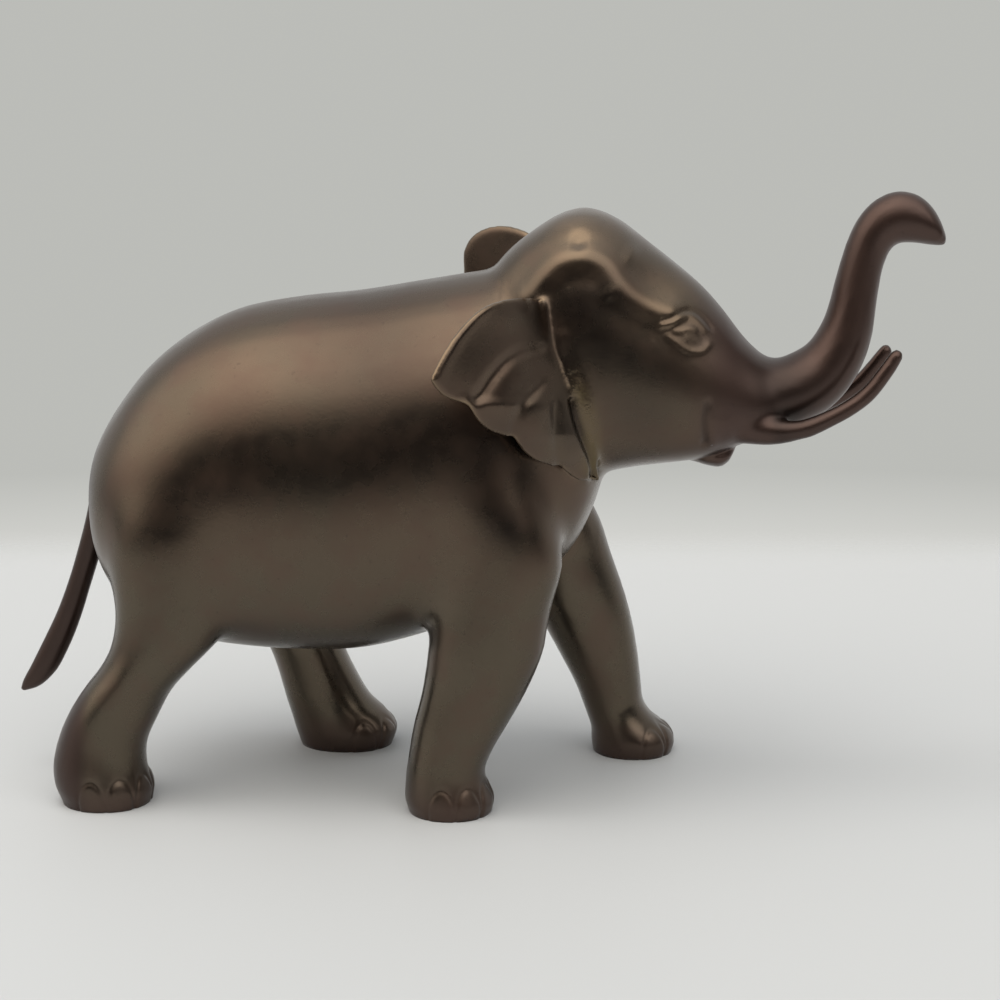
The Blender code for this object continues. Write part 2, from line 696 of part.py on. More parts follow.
def cut_level(thing, height):
    """Cut off what is below that height and close the soles."""
    shape = bmesh.new()
    shape.from_mesh(thing.data)
    cut = bmesh.ops.bisect_plane(
        shape,
        geom=shape.verts[:] + shape.edges[:] + shape.faces[:],
        plane_co=(0, 0, height),
        plane_no=(0, 0, -1),
        clear_outer=True,
    )
    rims = [e for e in cut["geom_cut"] if isinstance(e, bmesh.types.BMEdge)]
    bmesh.ops.holes_fill(shape, edges=rims, sides=0)
    bmesh.ops.recalc_face_normals(shape, faces=shape.faces)
    shape.to_mesh(thing.data)
    shape.free()


def reduce_facets(thing):
    facets = thing.modifiers.new("Facets", "DECIMATE")
    facets.ratio = TRIANGLES / (2 * len(thing.data.polygons))
    apply_modifiers(thing)


def place(thing):
    """Centre the figure over its origin, soles at zero, and bring it from units to its real size."""
    points = positions(thing.data)
    low, high = points.min(axis=0), points.max(axis=0)
    middle = (low + high) / 2
    points = (points - (middle[0], middle[1], low[2])) * UNIT
    thing.data.vertices.foreach_set("co", points.astype(np.float32).ravel())
    thing.data.update()


def bronze():
    material = bpy.data.materials.new("bronze")
    material.use_nodes = True
    shader = material.node_tree.nodes["Principled BSDF"]
    shader.inputs["Base Color"].default_value = BRONZE_COLOUR
    shader.inputs["Metallic"].default_value = 1.0
    shader.inputs["Roughness"].default_value = BRONZE_ROUGHNESS
    return material


for thing in list(bpy.data.objects):
    bpy.data.objects.remove(thing, do_unlink=True)
elephant = make_casting()
cut_level(elephant, 0)
reduce_facets(elephant)
cut_level(elephant, SOLE_TRIM)
place(elephant)
elephant.data.shade_smooth()
elephant.data.materials.append(bronze())
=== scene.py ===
"""Bronze figurine of a walking elephant with its trunk raised: fine skin, finish with painted shade and
highlight, light and camera.

The skin is modelled in units of a 320th of the figure's length, facing +X with its left side at +Y,
and then brought to the frame's own box.
"""

import math

import bmesh
import bpy
import numpy as np
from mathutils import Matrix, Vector


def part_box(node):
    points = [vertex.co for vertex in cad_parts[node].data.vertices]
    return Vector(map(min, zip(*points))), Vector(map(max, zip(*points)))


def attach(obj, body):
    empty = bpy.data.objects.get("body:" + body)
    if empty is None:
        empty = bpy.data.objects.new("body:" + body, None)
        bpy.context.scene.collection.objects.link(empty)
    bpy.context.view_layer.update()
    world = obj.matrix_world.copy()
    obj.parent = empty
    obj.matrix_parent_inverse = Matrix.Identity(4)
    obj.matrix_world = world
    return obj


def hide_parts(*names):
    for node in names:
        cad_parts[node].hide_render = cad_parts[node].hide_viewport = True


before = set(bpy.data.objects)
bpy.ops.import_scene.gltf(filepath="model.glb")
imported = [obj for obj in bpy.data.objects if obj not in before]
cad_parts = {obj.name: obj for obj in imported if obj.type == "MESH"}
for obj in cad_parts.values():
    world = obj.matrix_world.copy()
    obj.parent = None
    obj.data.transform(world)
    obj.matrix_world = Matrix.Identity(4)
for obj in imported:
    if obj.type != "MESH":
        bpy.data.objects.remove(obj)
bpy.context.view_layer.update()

UNIT = 0.001  # the form's own unit, before the skin is fitted to the frame's box
EAR_THICKNESS = 0.0024
TRIANGLES = 180000  # of the fine skin
COARSE_GRAIN = 1.6  # of the fused mass, in units
FINE_GRAIN = 0.6  # of the whole, in units
STATION_STEPS = 4  # on the smooth curve from each station or point to the next
PATH_STEPS = 6
LOBE_STEPS = 8
SMOOTHING_STRENGTH = 0.5
SMOOTHING_GRADES = 10  # of the smoothing's share from none to full
LEAST_NORMAL = 1e-6

# Stations in the middle plane: upper edge x, z, lower edge x, z, and half width.
BODY = [
    (-141, 109, -141, 100, 6),
    (-139.6, 116, -140, 92, 16),
    (-136.4, 123.5, -137.8, 80, 26),
    (-129.5, 134.6, -131, 66, 34.5),
    (-119.4, 146.8, -121, 56, 40.5),
    (-106, 157.4, -107, 51.5, 44.5),
    (-90.5, 165.2, -91, 49, 46.5),
    (-69, 169.8, -69, 47.8, 47.5),
    (-46, 172.4, -46, 48.8, 47.4),
    (-30, 175.1, -31, 52.5, 46.6),
    (-14, 177.8, -16, 57.5, 45.8),
    (2, 180, 0, 63, 43.8),
    (14, 179, 12, 71, 37.2),
    (25, 169, 24, 83, 30),
    (32, 155, 32, 98, 22.5),
    (35.5, 140, 36.5, 113, 12),
]
BODY_FULLNESS = (2.15, 2.3)  # upper and lower half
BODY_WAIST = 0.43  # share of the way up at which it is widest
# The head's have the fullness of their upper half last, for it is squarer at the crown than at the trunk
HEAD = [
    (-8, 169, 0, 122, 18, 2.2),
    (1, 184, 6, 112, 26, 2.4),
    (12, 193.2, 16, 109, 30.5, 2.6),
    (21, 198.6, 24, 109.5, 32.5, 2.7),
    (29, 200.3, 32, 110.5, 33, 2.7),
    (39, 197, 41, 112.3, 31.5, 2.5),
    (50, 189, 50, 113.8, 29, 2.2),
    (60, 181.4, 60, 115, 26.6, 2.1),
    (69, 173.6, 69, 116.3, 24.5, 2.0),
    (76, 165.6, 76, 118.6, 22, 2.0),
    (82, 157.8, 82, 121.4, 19.5, 2.0),
    (88, 152, 89, 123, 17, 2.0),
    (92, 149, 95, 126, 13, 2.0),
    (94, 144, 98, 131, 6, 2.0),
]
HEAD_UNDER_FULLNESS = 2.3
HEAD_WAIST = 0.42
TRUNK = [
    (72, 160, 76, 119, 14),
    (83, 154, 86, 123, 15),
    (93, 150.2, 96, 126.4, 14),
    (99, 152.4, 104, 129, 12.8),
    (103.4, 155.2, 111.2, 133.2, 11.6),
    (106.3, 159.2, 117.2, 139.6, 10.7),
    (108.5, 163.6, 121.4, 147, 9.9),
    (110.2, 169, 124.6, 157, 9.1),
    (111.4, 174.5, 126, 170, 8.2),
    (113.2, 182, 127.3, 179.8, 7.6),
    (115.2, 189, 128.7, 184.6, 7.4),
    (118.4, 196.6, 130.2, 187.6, 7.5),
    (123.6, 202.8, 132, 188.9, 7.7),
    (131, 206.2, 134.8, 189.2, 7.8),
    (138.4, 204.8, 138.8, 189, 7.5),
    (143.4, 200.4, 142.6, 188.5, 6.6),
    (146.6, 194.6, 146, 188.2, 4.8),
    (148.2, 190, 147.8, 188.4, 2.4),
]
TAIL = [
    (-126, 138, -122, 128, 3),
    (-134, 126, -128, 118, 4),
    (-139.4, 117, -131, 110, 4.4),
    (-143, 104, -135, 101, 4.2),
    (-145.8, 92, -138.2, 90, 3.8),
    (-149.2, 80.5, -141.2, 79, 3.6),
    (-153.4, 68, -145.6, 66, 3.4),
    (-158, 56.8, -149.6, 54.4, 3.4),
    (-163.4, 46.2, -154.6, 43, 3.2),
    (-168.4, 36.8, -160.4, 33.6, 3),
    (-171.6, 31, -166.6, 28.6, 2.2),
    (-172.6, 28, -171.4, 27.2, 1.1),
]

# Legs, down to just under the ground: z, x, y outwards, half length, half width
LEG_FULLNESS = (2.15, 2.15)
HIND_RIGHT = [
    (132, -100, 15, 24, 13),
    (114, -102, 24, 26, 17),
    (96, -104, 29.4, 25.5, 17.2),
    (80, -106, 30.6, 23.6, 16.6),
    (66, -107.5, 31.4, 20.5, 15.8),
    (56, -111.2, 31.8, 17.8, 15.2),
    (48, -117, 32, 15.8, 14.9),
    (39, -124.6, 32.2, 15.2, 14.6),
    (30, -129.8, 32.6, 15.6, 14.4),
    (20, -134, 33, 15.3, 14.4),
    (12, -134.8, 33.6, 15.9, 15),
    (5, -133.2, 33.6, 16.6, 15.6),
    (0, -132.6, 33.6, 15, 14.4),
    (-5, -132.8, 33.6, 15, 14),
]
HIND_LEFT = [
    (132, -98, 15, 24, 13),
    (114, -97, 24, 25, 17),
    (96, -94, 29.4, 24, 17.2),
    (80, -90, 30.6, 21, 16.6),
    (66, -85, 31.4, 17.8, 15.8),
    (54, -80.4, 32, 15.4, 15),
    (42, -76.2, 32.6, 13.8, 14.2),
    (32, -72.4, 33.2, 13.8, 13.8),
    (24, -69.4, 33.6, 14.6, 13.8),
    (17, -66.4, 33.6, 15.8, 14),
    (11, -62.2, 33.6, 18.2, 14.4),
    (6, -60, 33.6, 19, 15),
    (0, -60, 33.6, 17, 14),
    (-5, -60, 33.6, 15, 13),
]
FORE_RIGHT = [
    (132, -2, 24, 18, 17),
    (114, -2, 28.4, 17, 17),
    (98, 1, 30, 20.4, 17),
    (84, 2.6, 30.6, 21.6, 16.6),
    (70, 0, 31.4, 20.2, 16),
    (58, -1.8, 31.8, 19.7, 15.4),
    (50, -3.5, 32, 18.8, 15),
    (40, -6.6, 32.4, 17.4, 14.4),
    (30, -10.6, 32.8, 15.9, 14),
    (20, -14.2, 33.2, 13.9, 13.6),
    (13, -15.8, 33.6, 13.3, 13.6),
    (8, -15.2, 33.6, 14.3, 14.4),
    (4, -14.4, 33.6, 15.2, 15),
    (0, -14.2, 33.6, 14, 13.8),
    (-5, -14.4, 33.6, 13.5, 13),
]
FORE_LEFT = [
    (132, -2, 24, 18, 17),
    (114, -1, 28.4, 17, 17),
    (98, 8, 30, 20.4, 17),
    (86, 14.4, 30.4, 20, 16.6),
    (76, 18, 31.2, 19.5, 16),
    (66, 22.2, 31.6, 18.8, 15.6),
    (55, 27, 32.2, 17.5, 15),
    (44, 31.2, 32.8, 15.8, 14.2),
    (34, 34.6, 33.2, 13.9, 13.6),
    (25, 37.4, 33.6, 12.1, 13),
    (18, 39.2, 33.6, 11.2, 12.8),
    (13, 41.8, 33.6, 12, 13.2),
    (8, 45.8, 33.6, 14.5, 14.4),
    (4, 46.6, 33.6, 15.4, 15),
    (0, 46.4, 33.6, 14.4, 14),
    (-5, 46.2, 33.6, 13, 13),
]

# A tusk: x, y outwards, z, radius
TUSK = [
    (74, 8, 131, 7),
    (84, 11.6, 129, 6.2),
    (93, 14, 127.6, 4.6),
    (102, 15.5, 128.9, 3.3),
    (110.6, 15.8, 132.7, 2.8),
    (116.8, 15.6, 136.2, 2.7),
    (122.6, 15.2, 140.8, 2.65),
    (127, 14.8, 146.4, 2.5),
    (130.4, 14.4, 151.6, 2.3),
    (131.8, 14.3, 154, 1.9),
    (132.4, 14.2, 155.1, 1.0),
]

LEFT_TUSK_DROP = 2.4  # how much lower the left tusk's tip is

# An ear's root down the side of the head: x, y outwards, z
EAR_ROOT = [
    (17, 27, 171),
    (20.6, 28.5, 158),
    (25.4, 30.2, 146),
    (29.6, 29.4, 134),
    (33.2, 25, 121),
    (35.2, 21, 111),
]
# Seen from its side, x, z: its top edge runs back to the rear corner, and the points between the lobes of its
# lower edge run forward again
RIGHT_TOP_EDGE = [(16.5, 172), (8, 174.6), (0, 173.4), (-6.2, 168.4), (-12.2, 160.2), (-16.2, 152)]
RIGHT_CUSPS = [(-16.2, 152), (-5.3, 143.6), (8.1, 131), (22.2, 119.6), (34.5, 112.6)]
LEFT_TOP_EDGE = [
    (16.5, 176),
    (12.5, 183.4),
    (5.5, 188.8),
    (-2, 190.4),
    (-9, 189.4),
    (-15, 185.8),
    (-18.2, 179.4),
    (-17.8, 173),
]
LEFT_CUSPS = [(-17.8, 173), (-13.4, 158), (3.5, 141), (20, 124.5), (34.5, 112.6)]
# How far outwards each ear goes for each unit away from its root
RIGHT_SPREAD = 0.87
LEFT_SPREAD = 0.6
RIGHT_LEAN = 0.6  # how far outwards the right one's edge goes besides, for each unit above its root
LEFT_LEAN = 0
RIGHT_EAR = (RIGHT_TOP_EDGE, RIGHT_CUSPS, RIGHT_SPREAD, RIGHT_LEAN)
LEFT_EAR = (LEFT_TOP_EDGE, LEFT_CUSPS, LEFT_SPREAD, LEFT_LEAN)
EAR_BELLY = 2.4  # how far it swells outwards between its root and its edge
BELLY_REACH = 20  # width of ear from which it swells fully
CUSP_BOW = 0.155  # how far each lobe's edge bows past its chord, as a share of the chord

# The lower lip, in the middle plane like the body
LIP = [
    (62, 121, 62, 116, 6),
    (67, 122, 67, 114.8, 9),
    (72, 122, 71.5, 113.6, 10),
    (76.5, 122, 75.6, 113.4, 9.6),
    (79, 121.6, 78, 115.2, 8),
    (80.4, 121, 79.6, 118.6, 5),
]

# Carving on each side of the head, seen from its side: points x, z, then the stroke's width and height.
# The ridge runs from behind the ear's top over the temple and down to the eye
RIDGE = [
    (5, 172),
    (11.5, 173.4),
    (16, 179),
    (20.5, 183.6),
    (25.8, 185.6),
    (31.9, 185.8),
    (36.4, 183.4),
    (40, 178.6),
    (45, 173.6),
    (51, 169.8),
    (57, 167.6),
    (63, 166.8),
]
UPPER_LID = [(53, 163.6), (57.4, 164.2), (60.4, 165.9), (63.6, 166.2), (67, 163.8), (69.6, 160.6)]
LID_CREASE = [(53.6, 165.4), (58, 166.2), (61, 167.8), (64.6, 167.9), (68.6, 165), (71.4, 161.4)]
LOWER_LID = [(55.4, 161.4), (58.9, 158.7), (62.9, 155.8), (68.3, 155.6), (71, 158.4)]
FACE_STROKES = [
    (RIDGE, 4.4, 1.7),
    ([(24, 190.6), (31, 190.2)], 2.6, -1.1),  # dimple above it
    ([(41, 188), (47, 184)], 3.4, 0.9),  # knob ahead of it
    ([(35, 176), (39.4, 172.4)], 2.8, 0.6),  # knob in the temple
    ([(57, 161.4), (62, 160.8), (68, 159)], 4.2, 0.7),  # eyeball
    (UPPER_LID, 1.1, 0.35),
    (LID_CREASE, 0.9, -0.3),
    ([(57.4, 162), (60.5, 161.8), (63.4, 162.6), (66.4, 161.4)], 0.9, 0.25),  # the lid's lower edge
    (LOWER_LID, 1.1, 0.3),
    ([(70.2, 139.5), (69.4, 134), (69.6, 123)], 1.2, -0.9),  # corner of the mouth
    ([(72.2, 135), (72.2, 130), (73, 122)], 2, 0.4),
    ([(74.4, 134), (77, 129.6), (79, 124)], 2.2, 0.4),
]
# Where the ear's front edge folds against the cheek, on each side
EAR_FOLD = [(26, 149), (29.6, 140), (31.6, 131), (32.6, 122), (33.4, 114)]
EAR_SLIT = [(26.2, 142), (27.4, 136), (30, 127.5), (32.4, 119), (33.4, 111)]
FOLD_STROKES = [
    ([(22.4, 164), (24, 156), (27, 147)], 2.6, 0.6),
    (EAR_FOLD, 2.6, 1),
    (EAR_SLIT, 1.1, -1.6),
]
# The fan of the ear, on the right one's side view
EAR_STROKES = [
    # The edge of the upper lobe
    ([(17, 158), (11.5, 158), (6, 155.9), (2, 152), (-0.8, 148), (-4.4, 142.4)], 1.5, -1.0),
    ([(7.6, 130), (8.5, 137.5), (12, 143), (17, 148)], 1.2, -0.7),
    ([(21.8, 119), (20.8, 130), (20, 141)], 1.2, -0.7),
    ([(14, 154), (6, 148), (2, 140)], 4.5, 0.7),
    ([(19, 149), (15, 138), (13, 129)], 4.5, 0.6),
    ([(23, 148), (26, 133), (28, 120)], 3.5, 0.5),
]
RIM_HEIGHT = 0.7  # of the ear's raised edge
EAR_ROWS = 96  # of its sheet, from the top down
EAR_COLUMNS = 40  # from its root out to its edge
RIM_WIDTH = 2.2  # in columns
EDGE_ROUNDING = 0.8  # share by which the rim's thickness falls off, before its root is taken
STROKE_TAPER = 2  # how long a stroke's end tapers, in its widths
STROKE_END = 0.25  # how much of a stroke there is at its very end, as a share before easing

# How softly the whole skin, the roots of ears and tusks and the ears' free parts are smoothed: passes at a
# grain of one unit
SKIN_SOFTNESS = 1
ROOT_SOFTNESS = 30
EAR_SOFTNESS = 8
BODY_PASSES = 16
FLANK_PASSES = 120

# Where the skin is smoothed, and how little at the feet and along the trunk
ANKLE = 14
KNEE = 34
TRUNK_ROOT = 88
TRUNK_BEND = 102
LEAST_SMOOTHING = 0.25
FLANK_FRONT = 34
FLANK_BOTTOM = 56
FLANK_TOP = 150
FLANK_INSIDE = 20
FLANK_FADE = 14
ROOT_BLEND = 9
TUSK_ROOT = [(80, 11, 129.6), (88, 13, 128.2), (96, 14.8, 127.8)]
EAR_BOTTOM = 108

# The space that the head's carving keeps to: its rear, its underside and its half width without the ears
HEAD_BACK = 2
HEAD_UNDERSIDE = 108
HEAD_HALF_WIDTH = 42
HEAD_MARGIN = 8  # over which the carving runs out at that half width
SIDE_FACING = (0.14, 0.54)  # how far a face turns sideways where the carving starts and is full

ANKLE_REACH = 1.6 * max(FORE_RIGHT[-1][3], HIND_RIGHT[-1][3])  # round the middle of a foot

# Toenails: feet by x, y, then each nail's turn round the foot in degrees, measured outwards from the front
FEET = [(-132.8, -33.6), (-60, 33.6), (-14.4, -33.6), (46.4, 33.6)]
NAIL_TURNS = [-56, -18, 20, 58, 96]
NAIL_HALF_WIDTH = 4.4
NAIL_BOTTOM = 1.6
NAIL_TOP = 10.4
NAIL_HEIGHT = 0.22
NAIL_EDGE = (0.8, 1.05)  # shares of its size between which a nail's height falls to nothing
NAIL_GROOVE = 0.24  # depth of the groove round each
GROOVE_PLACE = 1.08  # shares of a nail's size
GROOVE_WIDTH = 0.1
SOLE_FACING = 0.9  # how far down a face turns that belongs to the sole

# How many sides the forms' rings have
BODY_SIDES = 44
LIMB_SIDES = 28
SMALL_SIDES = 16


def smooth_through(stations, steps):
    """Rows on a smooth curve through the stations, with that many steps between each two."""
    rows = np.array(stations, float)
    gaps = np.linalg.norm(np.diff(rows[:, :4], axis=0), axis=1)
    slopes = np.diff(rows, axis=0) / gaps[:, None]
    near, far = gaps[:-1, None], gaps[1:, None]
    inner = (slopes[:-1] * far + slopes[1:] * near) / (near + far)
    tangents = np.vstack([slopes[:1], inner, slopes[-1:]])
    out = []
    for i, gap in enumerate(gaps):
        for t in np.arange(steps) / steps:
            out.append(
                (2 * t**3 - 3 * t**2 + 1) * rows[i]
                + (t**3 - 2 * t**2 + t) * gap * tangents[i]
                + (3 * t**2 - 2 * t**3) * rows[i + 1]
                + (t**3 - t**2) * gap * tangents[i + 1]
            )
    return np.array(out + [rows[-1]])


def ring(centre, across, up, down, sides, fullness=(2.0, 2.0)):
    """Points round two half super-ellipses that meet at their widest.

    Fullness is the upper half's and the lower's: 2 is an ellipse, and more is squarer.
    """
    points = []
    for angle in np.arange(sides) * 2 * math.pi / sides:
        c, s = math.cos(angle), math.sin(angle)
        power = 2 / fullness[0 if s > 0 else 1]
        reach = up if s > 0 else down
        points.append(centre + across * math.copysign(abs(c) ** power, c) + reach * abs(s) ** power)
    return points


def loft(shape, rings):
    """Add to shape a closed skin through rings of equal count, with a flat cap at each end."""
    loops = [[shape.verts.new(p) for p in points] for points in rings]
    count = len(loops[0])
    faces = [shape.faces.new(loops[0]), shape.faces.new(loops[-1])]
    for first, second in zip(loops, loops[1:]):
        for i in range(count):
            j = (i + 1) % count
            faces.append(shape.faces.new((first[i], first[j], second[j], second[i])))
    bmesh.ops.recalc_face_normals(shape, faces=faces)


def add_middle_form(shape, stations, sides, fullness=(2.0, 2.0), waist=0.5):
    """The body, head, lip, trunk or tail. Its waist, the widest height, is a share of its way up."""
    above, below = fullness
    rings = []
    for upper_x, upper_z, lower_x, lower_z, half_width, *own in smooth_through(stations, STATION_STEPS):
        upper, lower = Vector((upper_x, 0, upper_z)), Vector((lower_x, 0, lower_z))
        centre = lower.lerp(upper, waist)
        across = Vector((0, half_width, 0))
        shares = (own[0] if own else above, below)
        rings.append(ring(centre, across, upper - centre, lower - centre, sides, shares))
    loft(shape, rings)


def add_leg(shape, stations, outwards):
    """A leg: level rings down Z. outwards is -1 on the right side and 1 on the left."""
    rings = []
    for z, x, y, half_length, half_width in smooth_through(stations, STATION_STEPS):
        centre = Vector((x, y * outwards, z))
        across = Vector((half_length, 0, 0))
        out = Vector((0, half_width, 0))
        rings.append(ring(centre, across, out, -out, LIMB_SIDES, LEG_FULLNESS))
    loft(shape, rings)


def add_tusk(shape, outwards):
    rows = smooth_through(TUSK, STATION_STEPS)
    if outwards > 0:
        rows[:, 2] -= LEFT_TUSK_DROP * np.linspace(0, 1, len(rows)) ** 2
    spine = [Vector((x, y * outwards, z)) for x, y, z, _ in rows]
    rings = []
    for i, centre in enumerate(spine):
        ahead = (spine[min(i + 1, len(spine) - 1)] - spine[max(i - 1, 0)]).normalized()
        across = ahead.cross(Vector((0, 0, 1))).normalized()
        radius = rows[i][3]
        up = across.cross(ahead) * radius
        rings.append(ring(centre, across * radius, up, -up, SMALL_SIDES))
    loft(shape, rings)


def scalloped(cusps):
    """The lobes' edge from cusp to cusp, each bowed past its chord, in x, z."""
    points = []
    for start, end in zip(np.array(cusps[:-1], float), np.array(cusps[1:], float)):
        chord = end - start
        out = np.array([-abs(chord[1]), -abs(chord[0])])
        for t in np.arange(1, LOBE_STEPS + 1) / LOBE_STEPS:
            points.append(start + chord * t + out * CUSP_BOW * math.sin(math.pi * t))
    return points


def along_path(points, shares):
    """Points at those shares of a path's length."""
    path = np.array(points)
    run = np.concatenate([[0], np.cumsum(np.linalg.norm(np.diff(path, axis=0), axis=1))])
    return np.stack([np.interp(shares * run[-1], run, column) for column in path.T], axis=1)


def smooth_path(points, steps=PATH_STEPS):
    return smooth_through(points, steps)


def ear_sheet(top_edge, cusps, spread, lean, rows, columns):
    """Lines of points from the ear's root out to its free edge."""
    shares = np.arange(rows + 1) / rows
    root = along_path(smooth_path(EAR_ROOT), shares)
    edge = along_path(np.vstack([smooth_path(top_edge), scalloped(cusps)]), shares)
    sheet = []
    for (root_x, root_y, root_z), (edge_x, edge_z) in zip(root, edge):
        reach = math.hypot(edge_x - root_x, edge_z - root_z)
        inner = Vector((root_x, root_y, root_z))
        outer = Vector((edge_x, root_y + spread * reach + lean * max(0, edge_z - root_z), edge_z))
        line = [inner.lerp(outer, t) for t in np.arange(columns + 1) / columns]
        for j, point in enumerate(line):
            point.y += EAR_BELLY * min(1, reach / BELLY_REACH) * math.sin(math.pi * j / columns)
        sheet.append(line)
    return sheet


def nearest_on(points, path):
    """Each point's distance to a path, and how far from the path's nearer end that is."""
    distance, place = np.full(len(points), np.inf), np.zeros(len(points))
    lengths = np.linalg.norm(np.diff(path, axis=0), axis=1)
    run = 0
    for start, end, length in zip(path[:-1], path[1:], lengths):
        step = end - start
        share = np.clip((points - start) @ step / (step @ step), 0, 1)
        away = np.linalg.norm(points - start - share[:, None] * step, axis=1)
        place = np.where(away < distance, run + share * length, place)
        distance = np.minimum(distance, away)
        run += length
    return distance, np.minimum(place, run - place)


def stroke_depth(points, strokes):
    """How far each x, z point is raised by strokes, each a soft ridge or groove that tapers at its ends."""
    points = np.asarray(points, float)
    total = np.zeros(len(points))
    for path, width, height in strokes:
        distance, from_end = nearest_on(points, smooth_path(path, STATION_STEPS))
        taper = ease(from_end / (STROKE_TAPER * width) + STROKE_END)
        total += height * taper * np.exp(-((distance / width) ** 2))
    return total


def ease(share):
    """From 0 to 1 without a corner at either end."""
    share = np.clip(share, 0, 1)
    return share * share * (3 - 2 * share)


def add_ear(shape, ear, outwards):
    """An ear: a curved sheet of the cast wall's thickness, with its fan and rim raised on the outer face."""
    rows, columns = EAR_ROWS, EAR_COLUMNS
    sheet = ear_sheet(*ear, rows, columns)
    pattern = ear_sheet(*RIGHT_EAR, rows, columns)
    carved = stroke_depth([(p.x, p.z) for line in pattern for p in line], EAR_STROKES)
    half = EAR_THICKNESS / UNIT / 2
    front, back = [], []
    for i in range(rows + 1):
        front.append([])
        back.append([])
        for j in range(columns + 1):
            down = sheet[min(i + 1, rows)][j] - sheet[max(i - 1, 0)][j]
            out = sheet[i][min(j + 1, columns)] - sheet[i][max(j - 1, 0)]
            normal = out.cross(down)
            normal = normal.normalized() if normal.length > LEAST_NORMAL else Vector((0, 1, 0))
            if normal.y < 0:
                normal = -normal
            rim = RIM_HEIGHT * math.exp(-(((columns - j) / RIM_WIDTH) ** 2))
            raised = carved[i * (columns + 1) + j] + rim
            rounded = math.sqrt(1 - EDGE_ROUNDING * max(0, 1 - (columns - j) / RIM_WIDTH) ** 2)
            for skin, offset in ((front, (half + raised) * rounded), (back, -half * rounded)):
                point = sheet[i][j] + normal * offset
                skin[-1].append(shape.verts.new((point.x, point.y * outwards, point.z)))
    faces = []
    for i in range(rows):
        for j in range(columns):
            for skin in (front, back):
                near, far = skin[i], skin[i + 1]
                faces.append(shape.faces.new((near[j], far[j], far[j + 1], near[j + 1])))
        for j in (0, columns):
            faces.append(shape.faces.new((front[i][j], front[i + 1][j], back[i + 1][j], back[i][j])))
    for i in (0, rows):
        for j in range(columns):
            faces.append(shape.faces.new((front[i][j], front[i][j + 1], back[i][j + 1], back[i][j])))
    bmesh.ops.recalc_face_normals(shape, faces=faces)


def new_object(name, shape):
    mesh = bpy.data.meshes.new(name)
    shape.to_mesh(mesh)
    shape.free()
    made = bpy.data.objects.new(name, mesh)
    bpy.context.scene.collection.objects.link(made)
    return made


def apply_modifiers(thing):
    """Replace an object's mesh by what its modifiers make of it."""
    bpy.context.view_layer.update()
    made = bpy.data.meshes.new_from_object(thing.evaluated_get(bpy.context.evaluated_depsgraph_get()))
    thing.modifiers.clear()
    thing.data = made


def fuse(thing, grain):
    """One skin round everything in the object."""
    remesh = thing.modifiers.new("One skin", "REMESH")
    remesh.mode = "VOXEL"
    remesh.voxel_size = grain
    apply_modifiers(thing)


def smooth(thing, passes, share_at=None):
    """Smooth the skin. share_at gives each point's share of the smoothing, from its x, y, z."""
    soften = thing.modifiers.new("Smooth", "SMOOTH")
    soften.factor = SMOOTHING_STRENGTH
    soften.iterations = passes
    if share_at is not None:
        group = thing.vertex_groups.new(name="soft")
        shares = share_at(positions(thing.data))
        for grade in range(SMOOTHING_GRADES + 1):
            chosen = np.flatnonzero(np.round(shares * SMOOTHING_GRADES) == grade)
            group.add(chosen.tolist(), grade / SMOOTHING_GRADES, "REPLACE")
        soften.vertex_group = "soft"
    apply_modifiers(thing)
    thing.vertex_groups.clear()


def fine_passes(softness):
    """Passes over the fine skin that soften it alike at any grain."""
    return math.ceil(softness / FINE_GRAIN**2)


def positions(mesh):
    flat = np.empty(len(mesh.vertices) * 3, np.float32)
    mesh.vertices.foreach_get("co", flat)
    return flat.reshape(-1, 3).astype(float)


def normals(mesh):
    flat = np.empty(len(mesh.vertices) * 3, np.float32)
    mesh.vertices.foreach_get("normal", flat)
    return flat.reshape(-1, 3).astype(float)


def soft_body(points):
    """Full smoothing on the body and head, and little on the feet and the trunk."""
    up_from_feet = (points[:, 2] - ANKLE) / (KNEE - ANKLE)
    back_from_trunk = (TRUNK_BEND - points[:, 0]) / (TRUNK_BEND - TRUNK_ROOT)
    return np.clip(np.minimum(up_from_feet, back_from_trunk), LEAST_SMOOTHING, 1)


def soft_flanks(points):
    """Full smoothing where the legs' tops merge with the body's sides."""
    behind_head = (FLANK_FRONT - points[:, 0]) / FLANK_FADE
    above_leg = (points[:, 2] - FLANK_BOTTOM) / FLANK_FADE
    below_back = (FLANK_TOP - points[:, 2]) / FLANK_FADE
    out = (np.abs(points[:, 1]) - FLANK_INSIDE) / FLANK_FADE
    return np.clip(np.min([behind_head, above_leg, below_back, out], axis=0), 0, 1)


def soft_roots(points):
    """Full smoothing where the ears and tusks grow out of the head."""
    mirrored = np.stack([points[:, 0], np.abs(points[:, 1]), points[:, 2]], axis=1)
    from_ear, _ = nearest_on(mirrored, smooth_path(EAR_ROOT))
    from_tusk, _ = nearest_on(mirrored, smooth_path(TUSK_ROOT))
    return ease(2 - 2 * np.minimum(from_ear, from_tusk) / ROOT_BLEND)


def soft_ears(points):
    """Full smoothing on the ears' free parts."""
    beyond = np.abs(points[:, 1]) - HEAD_HALF_WIDTH + HEAD_MARGIN
    return ease(beyond / HEAD_MARGIN) * (points[:, 2] > EAR_BOTTOM)


